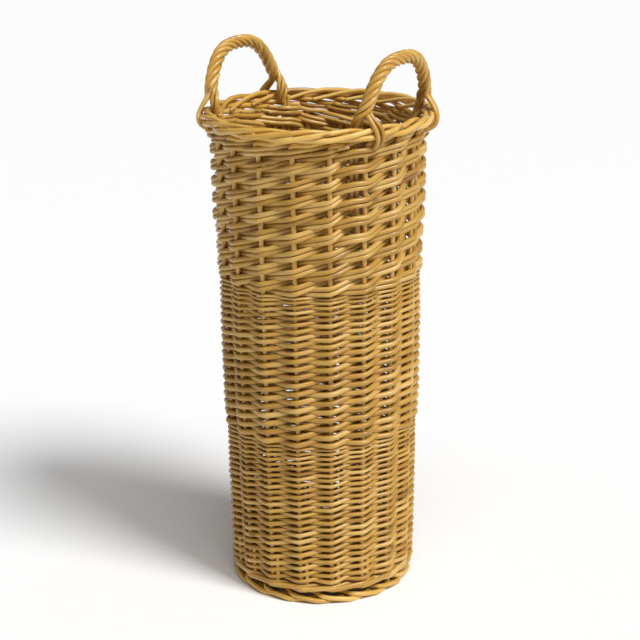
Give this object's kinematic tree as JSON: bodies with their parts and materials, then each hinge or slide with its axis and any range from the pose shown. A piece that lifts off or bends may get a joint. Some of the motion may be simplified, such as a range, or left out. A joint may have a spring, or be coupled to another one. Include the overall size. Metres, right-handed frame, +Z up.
{
  "type": "umbrella stand",
  "caption": "Tall round woven willow umbrella stand with bands of fine and coarse weave, a rod border and upright rope-twisted handles.",
  "frame": {"origin": "on the floor under the middle of the base", "axes": "+Z up, +X through the middle of the first handle, -X through the middle of the second handle"},
  "size_m": [0.2826, 0.2818, 0.6802],
  "materials": {
    "stake_willow": "peeled buff willow rods, satin, darker at the knots and in the crevices",
    "weaving_willow": "peeled buff willow weaving rods, satin, varied from pale straw to golden brown",
    "handle_willow": "peeled buff willow strands twisted round a bow, satin, warmer golden brown"
  },
  "bodies": {
    "root": {"side_stake_01": "stake_willow", "side_stake_02": "stake_willow", "side_stake_03": "stake_willow", "side_stake_04": "stake_willow", "side_stake_05": "stake_willow", "side_stake_06": "stake_willow", "side_stake_07": "stake_willow", "side_stake_08": "stake_willow", "side_stake_09": "stake_willow", "side_stake_10": "stake_willow", "side_stake_11": "stake_willow", "side_stake_12": "stake_willow", "side_stake_13": "stake_willow", "side_stake_14": "stake_willow", "side_stake_15": "stake_willow", "side_stake_16": "stake_willow", "side_stake_17": "stake_willow", "side_stake_18": "stake_willow", "foot_rod_01": "stake_willow", "foot_rod_02": "stake_willow", "foot_rod_03": "stake_willow", "foot_rod_04": "stake_willow", "foot_rod_05": "stake_willow", "foot_rod_06": "stake_willow", "foot_rod_07": "stake_willow", "foot_rod_08": "stake_willow", "foot_rod_09": "stake_willow", "foot_rod_10": "stake_willow", "foot_rod_11": "stake_willow", "foot_rod_12": "stake_willow", "foot_rod_13": "stake_willow", "foot_rod_14": "stake_willow", "foot_rod_15": "stake_willow", "foot_rod_16": "stake_willow", "foot_rod_17": "stake_willow", "foot_rod_18": "stake_willow", "through_base_stick_1": "stake_willow", "through_base_stick_2": "stake_willow", "through_base_stick_3": "stake_willow", "through_base_stick_4": "stake_willow", "through_base_stick_5": "stake_willow", "split_base_stick_1": "stake_willow", "split_base_stick_2": "stake_willow", "split_base_stick_3": "stake_willow", "split_base_stick_4": "stake_willow", "base_weave": "weaving_willow", "upsett_wale": "weaving_willow", "lower_weave": "weaving_willow", "middle_weave": "weaving_willow", "upper_weave": "weaving_willow", "handle_1_bow": "handle_willow", "handle_1_wrap": "handle_willow", "handle_1_right_lashing": "handle_willow", "handle_1_left_lashing": "handle_willow", "handle_2_bow": "handle_willow", "handle_2_wrap": "handle_willow", "handle_2_right_lashing": "handle_willow", "handle_2_left_lashing": "handle_willow"}
  },
  "joints": []
}
